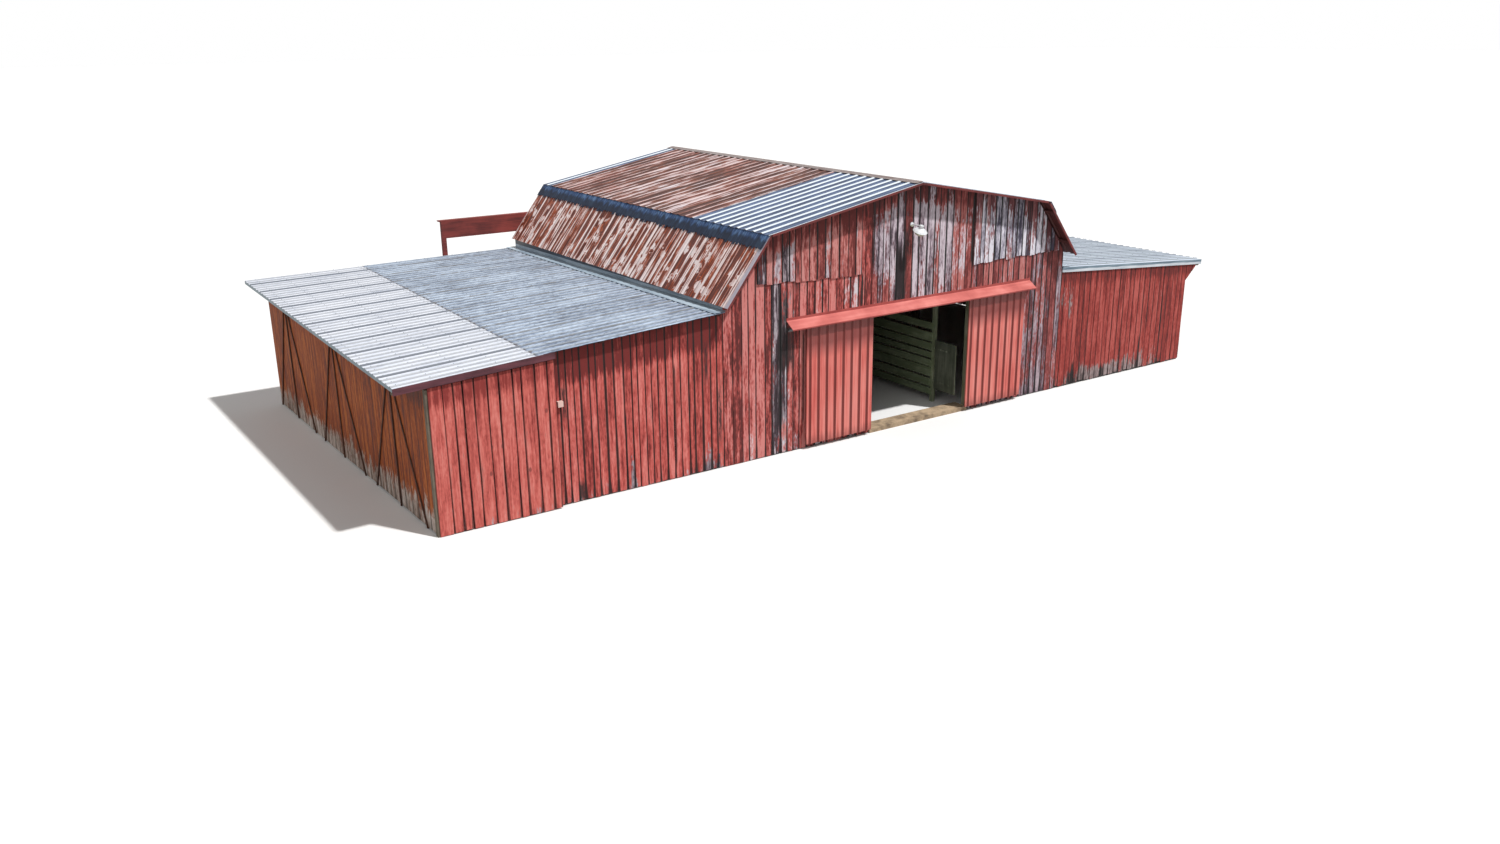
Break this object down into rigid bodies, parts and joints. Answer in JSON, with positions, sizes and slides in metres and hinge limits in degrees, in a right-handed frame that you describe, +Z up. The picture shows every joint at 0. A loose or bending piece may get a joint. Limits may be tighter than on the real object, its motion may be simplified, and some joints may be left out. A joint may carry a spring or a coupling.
{
  "type": "gambrel barn with two lean-tos",
  "caption": "Gambrel barn of weathered red boards with a ribbed metal roof, a lean-to on each side and a pair of sliding doors under a hood.",
  "frame": {"origin": "on the base plane, in the plane of the front boards, under the ridge", "axes": "+X along the front to the right, +Y towards the rear, +Z up"},
  "size_m": [22.65, 11.0043, 5.6634],
  "materials": {
    "red_boards": "weathered paint",
    "grey_boards": "weathered bare wood",
    "shade_boards": "stained and faded",
    "frame_timber": "rough sawn",
    "stall_timber": "weathered, greenish",
    "rusted_sheet": "rusted galvanised steel",
    "white_sheet": "satin",
    "grey_sheet": "dull galvanised",
    "dark_flashing": "satin",
    "pale_flashing": "dull galvanised",
    "red_sheet": "satin",
    "track_steel": "dull",
    "sill_stone": "rough concrete, as mineral",
    "lamp_white": "satin"
  },
  "bodies": {
    "barn": {"front_wall_left": "red_boards", "front_wall_right": "red_boards", "front_gable_centre": "red_boards", "front_flap_left": "red_boards", "front_flap_right": "grey_boards", "rear_wall": "red_boards", "rear_doors": "red_sheet", "upper_side_walls": "red_boards", "main_posts": "frame_timber", "eave_plates": "frame_timber", "tie_beams": "frame_timber", "main_rafters": "frame_timber", "purlins": "frame_timber", "wall_girts": "frame_timber", "upper_roof_left": "rusted_sheet", "upper_roof_right": "rusted_sheet", "steep_roof_left": "rusted_sheet", "steep_roof_right": "rusted_sheet", "ridge_cap": "grey_sheet", "break_flashings": "dark_flashing", "eave_flashings": "pale_flashing", "rake_boards": "red_boards", "left_front_wall": "red_boards", "left_bay_front_wall": "red_boards", "left_side_wall": "shade_boards", "left_wall_braces": "shade_boards", "wall_box": "lamp_white", "left_roof_inner": "grey_sheet", "left_roof_outer": "white_sheet", "left_rake_board": "red_boards", "left_fascia": "pale_flashing", "right_front_wall": "red_boards", "right_side_wall": "red_boards", "right_roof": "white_sheet", "right_fascia": "white_sheet", "lean_to_rear_walls": "red_boards", "lean_to_posts": "frame_timber", "lean_to_beams": "frame_timber", "lean_to_rafters": "frame_timber", "lean_to_purlins": "frame_timber", "door_hood": "red_sheet", "door_track": "track_steel", "door_jambs": "frame_timber", "threshold_sill": "sill_stone", "stall_posts": "stall_timber", "stall_slats": "stall_timber", "gable_lamp": "lamp_white", "rear_track_beam": "red_boards"},
    "left_leaf": {"left_door": "red_sheet", "left_door_hangers": "track_steel"},
    "right_leaf": {"right_door": "red_sheet", "right_door_hangers": "track_steel"},
    "stall_leaf": {"stall_door": "stall_timber"}
  },
  "joints": [
    {"name": "left_door_slide", "type": "slide", "parent": "barn", "child": "left_leaf", "axis": [1, 0, 0], "range_m": [-0.4, 1.4625]},
    {"name": "right_door_slide", "type": "slide", "parent": "barn", "child": "right_leaf", "axis": [-1, 0, 0], "range_m": [-0.22, 1.4625]},
    {"name": "stall_door_hinge", "type": "hinge", "parent": "barn", "child": "stall_leaf", "pos_m": [1.7, 0.925, 0], "axis": [0, 0, -1], "range_deg": [0, 150]}
  ]
}
